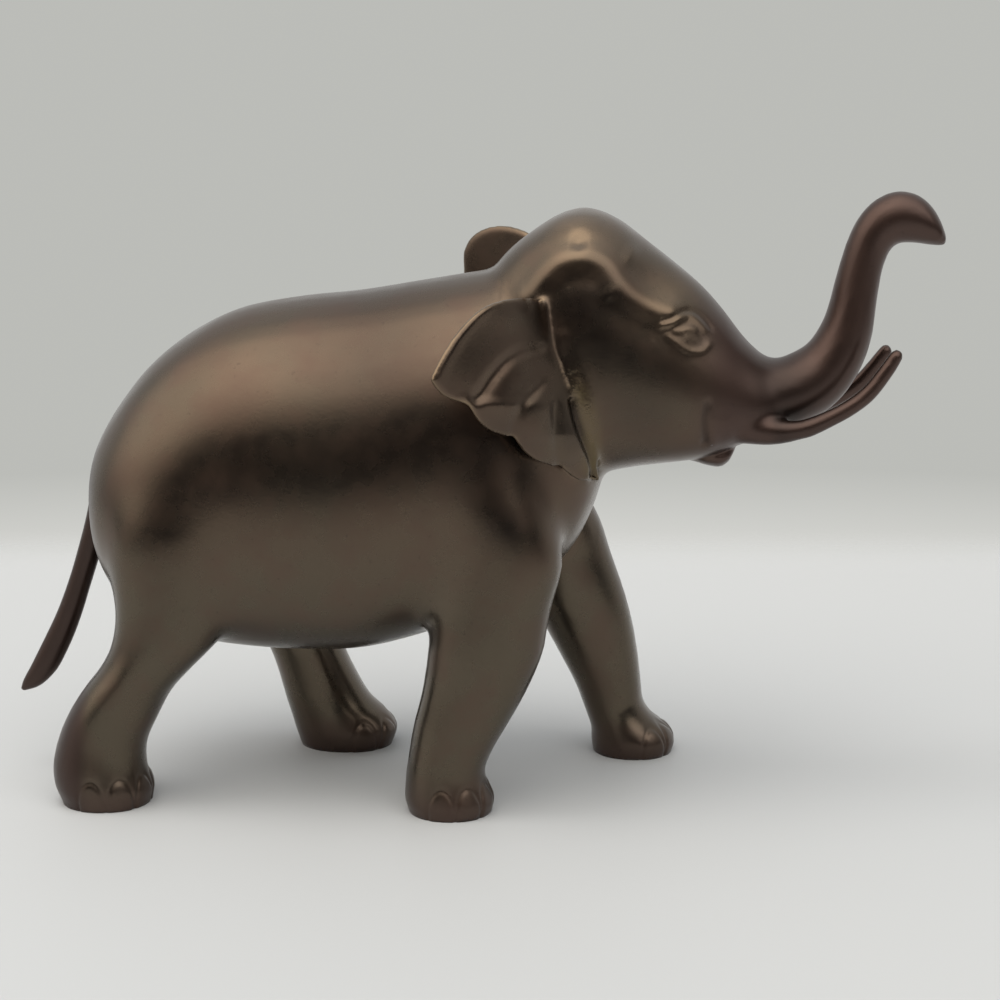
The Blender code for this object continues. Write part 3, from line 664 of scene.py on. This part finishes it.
def carve_sides(thing):
    """Raise and press the face and the ear's fold on both sides of the head."""
    points, facing = positions(thing.data), normals(thing.data)
    start, full = SIDE_FACING
    side = ease((np.abs(facing[:, 1]) - start) / (full - start)) * (facing[:, 1] * points[:, 1] > 0)
    side *= ease((HEAD_HALF_WIDTH - np.abs(points[:, 1])) / HEAD_MARGIN)
    in_head = (points[:, 0] > HEAD_BACK) & (points[:, 2] > HEAD_UNDERSIDE)
    head = np.flatnonzero(in_head & (side > 0))
    from_side = points[head][:, [0, 2]]
    raised = stroke_depth(from_side, FACE_STROKES + FOLD_STROKES)
    points[head] += facing[head] * (raised * side[head])[:, None]
    thing.data.vertices.foreach_set("co", points.astype(np.float32).ravel())
    thing.data.update()


def carve_nails(thing):
    """Raise a row of rounded nails, each in a shallow groove, round each foot."""
    points, facing = positions(thing.data), normals(thing.data)
    for foot_x, foot_y in FEET:
        outwards = math.copysign(1, foot_y)
        ahead = points[:, 0] - foot_x
        aside = (points[:, 1] - foot_y) * outwards
        radius = np.hypot(ahead, aside)
        upright = np.abs(facing[:, 2]) < SOLE_FACING
        near = np.flatnonzero((radius < ANKLE_REACH) & (points[:, 2] < ANKLE) & upright)
        turn = np.degrees(np.arctan2(aside[near], ahead[near]))
        nearest = np.full(len(near), np.inf)
        for nail in NAIL_TURNS:
            sideways = np.radians(turn - nail) * radius[near] / NAIL_HALF_WIDTH
            up = np.clip(points[near, 2] - NAIL_BOTTOM, 0, None) / (NAIL_TOP - NAIL_BOTTOM)
            nearest = np.minimum(nearest, np.hypot(sideways, up))
        start, end = NAIL_EDGE
        raised = NAIL_HEIGHT * (1 - ease((nearest - start) / (end - start)))
        raised -= NAIL_GROOVE * np.exp(-(((nearest - GROOVE_PLACE) / GROOVE_WIDTH) ** 2))
        points[near] += facing[near] * raised[:, None]
    thing.data.vertices.foreach_set("co", points.astype(np.float32).ravel())
    thing.data.update()


def make_casting():
    """The whole figure as one fine skin, in units."""
    shape = bmesh.new()
    add_middle_form(shape, BODY, BODY_SIDES, BODY_FULLNESS, BODY_WAIST)
    add_middle_form(shape, HEAD, BODY_SIDES, (2.0, HEAD_UNDER_FULLNESS), HEAD_WAIST)
    add_middle_form(shape, TRUNK, LIMB_SIDES)
    add_leg(shape, HIND_RIGHT, -1)
    add_leg(shape, HIND_LEFT, 1)
    add_leg(shape, FORE_RIGHT, -1)
    add_leg(shape, FORE_LEFT, 1)
    casting = new_object("elephant", shape)
    fuse(casting, COARSE_GRAIN)
    smooth(casting, BODY_PASSES, soft_body)
    smooth(casting, FLANK_PASSES, soft_flanks)
    shape = bmesh.new()
    shape.from_mesh(casting.data)
    add_middle_form(shape, TAIL, SMALL_SIDES)
    add_middle_form(shape, LIP, SMALL_SIDES)
    for outwards in (-1, 1):
        add_tusk(shape, outwards)
    add_ear(shape, RIGHT_EAR, -1)
    add_ear(shape, LEFT_EAR, 1)
    shape.to_mesh(casting.data)
    shape.free()
    fuse(casting, FINE_GRAIN)
    smooth(casting, fine_passes(SKIN_SOFTNESS))
    smooth(casting, fine_passes(ROOT_SOFTNESS), soft_roots)
    smooth(casting, fine_passes(EAR_SOFTNESS), soft_ears)
    carve_sides(casting)
    carve_nails(casting)
    return casting


def cut_level(thing, height):
    """Cut off what is below that height and close the soles."""
    shape = bmesh.new()
    shape.from_mesh(thing.data)
    cut = bmesh.ops.bisect_plane(
        shape,
        geom=shape.verts[:] + shape.edges[:] + shape.faces[:],
        plane_co=(0, 0, height),
        plane_no=(0, 0, -1),
        clear_outer=True,
    )
    rims = [e for e in cut["geom_cut"] if isinstance(e, bmesh.types.BMEdge)]
    bmesh.ops.holes_fill(shape, edges=rims, sides=0)
    bmesh.ops.recalc_face_normals(shape, faces=shape.faces)
    shape.to_mesh(thing.data)
    shape.free()


def reduce_facets(thing):
    facets = thing.modifiers.new("Facets", "DECIMATE")
    facets.ratio = min(1, TRIANGLES / (2 * len(thing.data.polygons)))
    apply_modifiers(thing)


def fit_to_frame(thing):
    """Bring the skin from units to the box of the solid that it stands for."""
    low, high = (np.array(corner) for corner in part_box("elephant"))
    points = positions(thing.data)
    own_low, own_high = points.min(axis=0), points.max(axis=0)
    points = low + (points - own_low) * (high - low) / (own_high - own_low)
    thing.data.vertices.foreach_set("co", points.astype(np.float32).ravel())
    thing.data.update()


def new_material(name):
    material = bpy.data.materials.new(name)
    material.use_nodes = True
    return material, material.node_tree.nodes, material.node_tree.links


def noise(nodes, links, place, scale, detail, roughness=0.55):
    """A noise's value over the place's coordinates, with that many waves to the metre."""
    texture = nodes.new("ShaderNodeTexNoise")
    texture.inputs["Scale"].default_value = scale
    texture.inputs["Detail"].default_value = detail
    texture.inputs["Roughness"].default_value = roughness
    links.new(place, texture.inputs["Vector"])
    return texture.outputs["Fac"]


def spread(nodes, links, value, low, high, to_low, to_high):
    """The value's stretch from low to high, spread over to_low to to_high."""
    ranged = nodes.new("ShaderNodeMapRange")
    ranged.inputs["From Min"].default_value = low
    ranged.inputs["From Max"].default_value = high
    ranged.inputs["To Min"].default_value = to_low
    ranged.inputs["To Max"].default_value = to_high
    links.new(value, ranged.inputs["Value"])
    return ranged.outputs["Result"]


def blend(nodes, links, share, first, second):
    """A colour between two, by a share. Each is a colour or a socket."""
    mix = nodes.new("ShaderNodeMix")
    mix.data_type = "RGBA"
    links.new(share, mix.inputs["Factor"])
    for socket, colour in ((mix.inputs[FIRST_COLOUR], first), (mix.inputs[SECOND_COLOUR], second)):
        if isinstance(colour, tuple):
            socket.default_value = (*colour, 1)
        else:
            links.new(colour, socket)
    return mix.outputs[MIXED_COLOUR]


def in_patches(points, patches):
    """How far each point lies in the soft patches, which reach through from side to side."""
    share = np.zeros(len(points))
    for x, z, reach, strength in patches:
        away = np.hypot(points[:, 0] - x, points[:, 2] - z)
        share = np.maximum(share, strength * np.exp(-((away / reach) ** 2)))
    return share


def mark_finish_and_painted_light(thing):
    """Keep on each point of the skin how much wear it shows, with rubbed patches on crown and brow that are
    partly painted highlight; how much darker it is, in grooves, round the tusks and as painted shade; how
    brass-coloured; and how red.

    They are the red, green, blue and alpha of one colour, worked out in units from the form's own lines.
    """
    points = positions(thing.data)
    mirrored = np.stack([points[:, 0], np.abs(points[:, 1]), points[:, 2]], axis=1)
    aside = ease((mirrored[:, 1] - FACE_INSIDE) / FACE_FADE)
    aside *= ease((HEAD_HALF_WIDTH - mirrored[:, 1]) / HEAD_MARGIN)
    from_side = points[:, [0, 2]]
    relief = np.zeros(len(points))
    head = np.flatnonzero((aside > 0) & (points[:, 0] > HEAD_BACK) & (points[:, 2] > HEAD_UNDERSIDE))
    relief[head] = stroke_depth(from_side[head], FINE_STROKES) * aside[head] * RELIEF_SHARE
    rims = np.zeros(len(points))
    beside = (mirrored[:, 1] > FACE_INSIDE) & (points[:, 2] > EAR_BOTTOM - EAR_MARGIN)
    ears = np.flatnonzero(beside & (points[:, 0] < EAR_FRONT))
    for outwards, ear in ((-1, RIGHT_EAR), (1, LEFT_EAR)):
        edge = np.array([line[-1] for line in ear_sheet(*ear, RIM_POINTS, 1)]) * (1, outwards, 1)
        away, _ = nearest_on(points[ears], edge)
        rims[ears] = np.maximum(rims[ears], np.exp(-((away / RIM_WEAR) ** 2)))
    fold = np.zeros(len(points))
    away, _ = nearest_on(from_side[head], smooth_path(EAR_FOLD))
    fold[head] = np.exp(-((away / FOLD_MARK_REACH) ** 2)) * aside[head]
    fold *= ease((FOLD_TOP - points[:, 2]) / FOLD_FADE)
    tusk, _ = nearest_on(mirrored, np.array(TUSK, float)[:, :3])
    crevice = np.exp(-(((tusk - CREVICE_AWAY) / CREVICE_WIDTH) ** 2))
    crevice *= ease((points[:, 0] - CREVICE_START) / CREVICE_FADE)
    crevice *= ease((CREVICE_END - points[:, 0]) / CREVICE_FADE)
    trunk = ease((points[:, 0] - REDDISH_TRUNK) / TRUNK_FADE)
    tail = ease((TAIL_ROOT - points[:, 0]) / TAIL_FADE)
    feet = ease((REDDISH_FOOT - points[:, 2]) / REDDISH_FOOT)
    finish_and_painted_light = np.zeros((len(points), 4))
    rubbed_and_highlight = in_patches(points, RUBBED_AND_HIGHLIGHT_PATCHES)
    # Painted shade: the tail's darkening and the darker patches, which dim highlights and deepen shade
    painted_shade = tail * TAIL_PAINTED_SHADE + in_patches(points, PAINTED_SHADE_PATCHES)
    finish_and_painted_light[:, 0] = np.clip(np.maximum(relief, rims) + rubbed_and_highlight, 0, 1)
    finish_and_painted_light[:, 1] = np.clip(np.maximum(-relief, crevice) + painted_shade, 0, 1)
    finish_and_painted_light[:, 2] = fold
    finish_and_painted_light[:, 3] = np.clip(np.maximum(np.maximum(trunk, tail), feet * FOOT_REDNESS), 0, 1)
    marks = thing.data.attributes.new("finish_and_painted_light", "FLOAT_COLOR", "POINT")
    marks.data.foreach_set("color", finish_and_painted_light.astype(np.float32).ravel())


def bronze():
    """Patina over bronze: brown above, olive below, reddish trunk, tail and feet, brass-coloured at the ears'
    folds. Painted shade darkens patches, the tail, the folds, the trunk's root and the olive legs, and
    painted highlight lightens patches on the crown and brow.
    """
    material, nodes, links = new_material("bronze")
    shader = nodes["Principled BSDF"]
    shader.inputs["Metallic"].default_value = 1.0
    shader.inputs["Coat Weight"].default_value = COAT_WEIGHT
    shader.inputs["Coat Roughness"].default_value = COAT_ROUGHNESS
    place = nodes.new("ShaderNodeTexCoord").outputs["Object"]
    parts = nodes.new("ShaderNodeSeparateXYZ")
    links.new(place, parts.inputs["Vector"])
    patches = noise(nodes, links, place, *PATCHES)
    mottle = noise(nodes, links, place, *MOTTLE)
    grain = noise(nodes, links, place, *GRAIN)
    marks = nodes.new("ShaderNodeAttribute")
    marks.attribute_name = "finish_and_painted_light"
    shares = nodes.new("ShaderNodeSeparateColor")
    links.new(marks.outputs["Color"], shares.inputs["Color"])
    wear_and_highlight, dark_recesses_and_shade, brassy_and_shade, red = (
        shares.outputs["Red"],
        shares.outputs["Green"],
        shares.outputs["Blue"],
        marks.outputs["Alpha"],
    )
    low = spread(nodes, links, parts.outputs["Z"], *OLIVE_BELOW)
    base = blend(nodes, links, low, BROWN, OLIVE)
    base = blend(nodes, links, spread(nodes, links, patches, *OLIVE_PATCHES), base, OLIVE)
    base = blend(nodes, links, spread(nodes, links, mottle, *RED_MOTTLE), base, RED_BROWN)
    base = blend(nodes, links, red, base, DARK_RED)
    base = blend(nodes, links, spread(nodes, links, grain, *PITTED_GRAIN), base, PIT_AND_SHADE)
    # Darker in grooves and round the tusks, and painted shade in the darker patches and on the tail
    base = blend(nodes, links, dark_recesses_and_shade, base, PIT_AND_SHADE)
    # Lighter where the metal shows wear, and painted highlight in the patches on crown and brow
    rubbed_and_highlight = product(nodes, links, wear_and_highlight, spread(nodes, links, mottle, *RUBBED_AND_HIGHLIGHT_MOTTLE))
    base = blend(nodes, links, rubbed_and_highlight, base, WORN_AND_HIGHLIGHT)
    # Brass-coloured at the ears' folds; the colour is kept dark as painted shade that dims the folds'
    # highlight
    mottled_brassy_and_shade = product(nodes, links, brassy_and_shade, spread(nodes, links, mottle, *BRASSY_AND_SHADE_MOTTLE))
    base = blend(nodes, links, mottled_brassy_and_shade, base, BRASSY_AND_SHADE)
    links.new(base, shader.inputs["Base Color"])
    dullness = spread(nodes, links, red, 0, 1, BODY_ROUGHNESS, RED_ROUGHNESS)
    uneven = spread(nodes, links, mottle, *UNEVEN_MOTTLE)
    links.new(sum_of(nodes, links, dullness, uneven), shader.inputs["Roughness"])
    rough = noise(nodes, links, place, *BUMPS)
    height = product(nodes, links, rough, spread(nodes, links, brassy_and_shade, *BUMPINESS))
    bump = nodes.new("ShaderNodeBump")
    bump.inputs["Strength"].default_value = BUMP_STRENGTH
    bump.inputs["Distance"].default_value = BUMP_DEPTH
    links.new(height, bump.inputs["Height"])
    links.new(bump.outputs["Normal"], shader.inputs["Normal"])
    return material


def combined(nodes, links, operation, first, second):
    both = nodes.new("ShaderNodeMath")
    both.operation = operation
    links.new(first, both.inputs[0])
    links.new(second, both.inputs[1])
    return both.outputs["Value"]


def product(nodes, links, first, second):
    return combined(nodes, links, "MULTIPLY", first, second)


def sum_of(nodes, links, first, second):
    return combined(nodes, links, "ADD", first, second)


def pale_floor():
    """A table top square to the camera, whose rear edge runs out softly into the backdrop."""
    shape = bmesh.new()
    front = [(-FLOOR_SIDE, FLOOR_FRONT), (FLOOR_SIDE, FLOOR_FRONT)]
    rear = [(FLOOR_SIDE, FLOOR_REAR), (-FLOOR_SIDE, FLOOR_REAR)]
    shape.faces.new([shape.verts.new((x, y, 0)) for x, y in front + rear])
    floor = new_object("floor", shape)
    floor.rotation_euler.z = math.radians(CAMERA_AZIMUTH)
    material, nodes, links = new_material("floor")
    shader = nodes["Principled BSDF"]
    shader.inputs["Base Color"].default_value = (*FLOOR_COLOUR, 1)
    shader.inputs["Roughness"].default_value = FLOOR_ROUGHNESS
    parts = nodes.new("ShaderNodeSeparateXYZ")
    links.new(nodes.new("ShaderNodeTexCoord").outputs["Object"], parts.inputs["Vector"])
    fade = spread(nodes, links, parts.outputs["Y"], FLOOR_REAR - FLOOR_FADE, FLOOR_REAR, 1, 0)
    fade.node.interpolation_type = "SMOOTHSTEP"
    links.new(fade, shader.inputs["Alpha"])
    floor.data.materials.append(material)


def surroundings():
    """A grey backdrop to look at, and a room with broad soft lights for the bronze to reflect."""
    world = bpy.data.worlds.new("room")
    bpy.context.scene.world = world
    world.use_nodes = True
    nodes, links = world.node_tree.nodes, world.node_tree.links
    direction = nodes.new("ShaderNodeTexCoord").outputs["Generated"]
    parts = nodes.new("ShaderNodeSeparateXYZ")
    links.new(direction, parts.inputs["Vector"])
    height, away = parts.outputs["Z"], parts.outputs["Y"]
    walls = blend(nodes, links, spread(nodes, links, away, *WALL_TURN, 0, 1), ROOM_FRONT, ROOM_BACK)
    room = blend(nodes, links, spread(nodes, links, height, *CEILING_RISE, 0, 1), walls, CEILING)
    for toward, rim, heart, colour in ROOM_LIGHTS:
        nearness = nodes.new("ShaderNodeVectorMath")
        nearness.operation = "DOT_PRODUCT"
        links.new(direction, nearness.inputs[0])
        nearness.inputs[1].default_value = Vector(toward).normalized()
        cosines = [math.cos(math.radians(angle)) for angle in (rim, heart)]
        share = spread(nodes, links, nearness.outputs["Value"], *cosines, 0, 1)
        share.node.interpolation_type = "SMOOTHSTEP"
        room = blend(nodes, links, share, room, colour)
    rise = spread(nodes, links, height, *BACKDROP_RISE, 0, 1)
    backdrop = blend(nodes, links, rise, BACKDROP_FOOT, BACKDROP)
    seen = nodes.new("ShaderNodeLightPath").outputs["Is Camera Ray"]
    links.new(blend(nodes, links, seen, room, backdrop), nodes["Background"].inputs["Color"])


def shadow_light():
    """A weak broad lamp over the tail, which the bronze doesn't reflect, for the shadows at the feet."""
    data = bpy.data.lights.new("shadow_light", "AREA")
    data.shape = "DISK"
    data.size = LAMP_SIZE
    data.energy = LAMP_POWER
    lamp = bpy.data.objects.new("shadow_light", data)
    lamp.location = LAMP_PLACE
    lamp.rotation_euler = (Vector(CAMERA_TARGET) - Vector(LAMP_PLACE)).to_track_quat("-Z", "Y").to_euler()
    lamp.visible_glossy = False
    bpy.context.scene.collection.objects.link(lamp)


def camera():
    azimuth, elevation = math.radians(CAMERA_AZIMUTH), math.radians(CAMERA_ELEVATION)
    level = Vector((math.sin(azimuth), -math.cos(azimuth), 0))
    away = level * math.cos(elevation) + Vector((0, 0, math.sin(elevation)))
    data = bpy.data.cameras.new("camera")
    data.lens = CAMERA_LENS
    data.sensor_width = CAMERA_SENSOR
    taker = bpy.data.objects.new("camera", data)
    taker.location = Vector(CAMERA_TARGET) + away * CAMERA_DISTANCE
    taker.rotation_euler = (-away).to_track_quat("-Z", "Y").to_euler()
    bpy.context.scene.collection.objects.link(taker)
    bpy.context.scene.camera = taker


# The mix node's sockets for colours
FIRST_COLOUR = 6
SECOND_COLOUR = 7
MIXED_COLOUR = 2

# Colours of the finish, some also used for painted shade and painted highlight
BROWN = (0.105, 0.073, 0.05)
# Olive patina below and in patches; its darkness is partly painted shade on the legs and low flank
OLIVE = (0.091, 0.075, 0.052)
RED_BROWN = (0.105, 0.062, 0.045)
DARK_RED = (0.075, 0.046, 0.037)
# Colour of wear on the metal, also used as painted highlight on crown and brow
WORN_AND_HIGHLIGHT = (0.26, 0.19, 0.12)
# Yellowish like rubbed metal, but darkened as painted shade over the folds' highlight
BRASSY_AND_SHADE = (0.1, 0.074, 0.036)
PIT_AND_SHADE = (0.03, 0.02, 0.016)
# Noises: waves to the metre, how many finer ones are laid over them, and how strongly
PATCHES = (16, 4)
MOTTLE = (75, 6)
GRAIN = (520, 5, 0.6)
BUMPS = (900, 3, 0.6)
# The values between which each of these starts and is full, and its shares there
# Olive towards the bottom, partly patina and partly painted shade that darkens the legs
OLIVE_BELOW = (0.11, 0.07, 0, 0.75)  # the values are heights in metres
OLIVE_PATCHES = (0.45, 0.62, 0, 0.6)
RED_MOTTLE = (0.45, 0.7, 0, 0.45)
PITTED_GRAIN = (0.62, 0.74, 0, 0.35)
RUBBED_AND_HIGHLIGHT_MOTTLE = (0.3, 0.6, 0.35, 1)
BRASSY_AND_SHADE_MOTTLE = (0.35, 0.6, 0.2, 1)
BUMPINESS = (0, 1, 0.25, 2.5)  # from the smooth skin to the bare folds
UNEVEN_MOTTLE = (0.3, 0.7, 0, 0.12)  # what the mottling adds to the roughness
BODY_ROUGHNESS = 0.22
RED_ROUGHNESS = 0.36
COAT_WEIGHT = 0.35
COAT_ROUGHNESS = 0.32
BUMP_STRENGTH = 0.25
BUMP_DEPTH = 0.0004

# Places of the finish and of the painted shade and highlight, in units
FINE_WIDTH = 2  # of the strokes that show wear or dirt
FINE_FACE_STROKES = [(path, width, height) for path, width, height in FACE_STROKES if width < FINE_WIDTH]
FINE_STROKES = FINE_FACE_STROKES + FOLD_STROKES[1:]
RELIEF_SHARE = 0.55  # of a stroke's depth that shows as wear or as dirt
FACE_INSIDE = 4
FACE_FADE = 4
EAR_FRONT = 40
EAR_MARGIN = 4
RIM_POINTS = 60
RIM_WEAR = 1.1
FOLD_MARK_REACH = 3.0
FOLD_TOP = 160
FOLD_FADE = 12
TAIL_ROOT = -134
TAIL_FADE = 6
# Painted shade on the tail, which dims the highlight it catches
TAIL_PAINTED_SHADE = 0.5
# The reddish trunk starts well behind the trunk, so its darker red is also painted shade that dims the
# highlight at the trunk's root
REDDISH_TRUNK = 60
TRUNK_FADE = 18
CREVICE_AWAY = 5.4
CREVICE_WIDTH = 1.8
CREVICE_START = 90
CREVICE_END = 118
CREVICE_FADE = 5
REDDISH_FOOT = 18
FOOT_REDNESS = 0.8
# Soft patches: x, z, reach and share at the heart. The lighter ones, on the crown and brow, are partly wear
# from rubbing and partly painted highlight
RUBBED_AND_HIGHLIGHT_PATCHES = [(26, 195, 13, 0.45), (55, 171.5, 8, 0.5)]
# Darker patches are painted shade: they dim the flank's highlight, the cheek, the ear's lower part and fold
# and the trunk's root, and darken the temple recess and the shoulder under the ear
PAINTED_SHADE_PATCHES = [
    (-38, 152, 24, 0.45),
    (4, 130, 12, 0.4),
    (5, 101, 7, 0.5),
    (28, 130, 7, 0.4),
    (29, 173, 8, 0.6),
    (49, 137, 15, 0.4),
    (95, 144, 11, 0.75),
]

# The floor, in metres, and the light
FLOOR_SIDE = 1.2
FLOOR_FRONT = -0.9
FLOOR_REAR = 0.40
FLOOR_FADE = 0.10  # over which its rear edge runs out
FLOOR_COLOUR = (0.50, 0.522, 0.535)
FLOOR_ROUGHNESS = 0.6
LAMP_SIZE = 0.45
LAMP_POWER = 1.6
LAMP_PLACE = (-0.30, -0.10, 0.95)
ROOM_FRONT = (0.026, 0.02, 0.022)
ROOM_BACK = (0.62, 0.62, 0.61)
CEILING = (0.96, 0.97, 0.98)
# Between which parts of a direction, away from the camera or upwards, the room and the backdrop change
WALL_TURN = (-0.35, 0.35)
CEILING_RISE = (0.55, 0.9)
BACKDROP_RISE = (-0.235, -0.19)
# Broad lights in the room: towards x, y, z, the angles to rim and heart in degrees, and the heart's colour
ROOM_LIGHTS = [
    ((-0.75, -0.25, 0.6), 42, 8, (1.9, 1.75, 1.6)),
    ((-0.1, -0.42, 0.9), 44, 10, (2.6, 2.44, 2.24)),
    ((0.5, -0.5, 0.7), 38, 8, (1.9, 1.83, 1.75)),
]
BACKDROP = (0.50, 0.505, 0.48)
BACKDROP_FOOT = (0.68, 0.68, 0.65)

# The camera, in degrees, millimetres and metres
CAMERA_AZIMUTH = 4.5
CAMERA_ELEVATION = 12
CAMERA_DISTANCE = 0.690
CAMERA_TARGET = (0.0124, 0.0043, 0.100)
CAMERA_LENS = 72
CAMERA_SENSOR = 36

elephant = make_casting()
cut_level(elephant, 0)
elephant.name = "elephant_bronze"
reduce_facets(elephant)
mark_finish_and_painted_light(elephant)
fit_to_frame(elephant)
elephant.data.shade_smooth()
elephant.data.materials.append(bronze())
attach(elephant, "root")
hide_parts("elephant")

pale_floor()
surroundings()
shadow_light()
camera()
bpy.context.scene.view_settings.view_transform = "Standard"
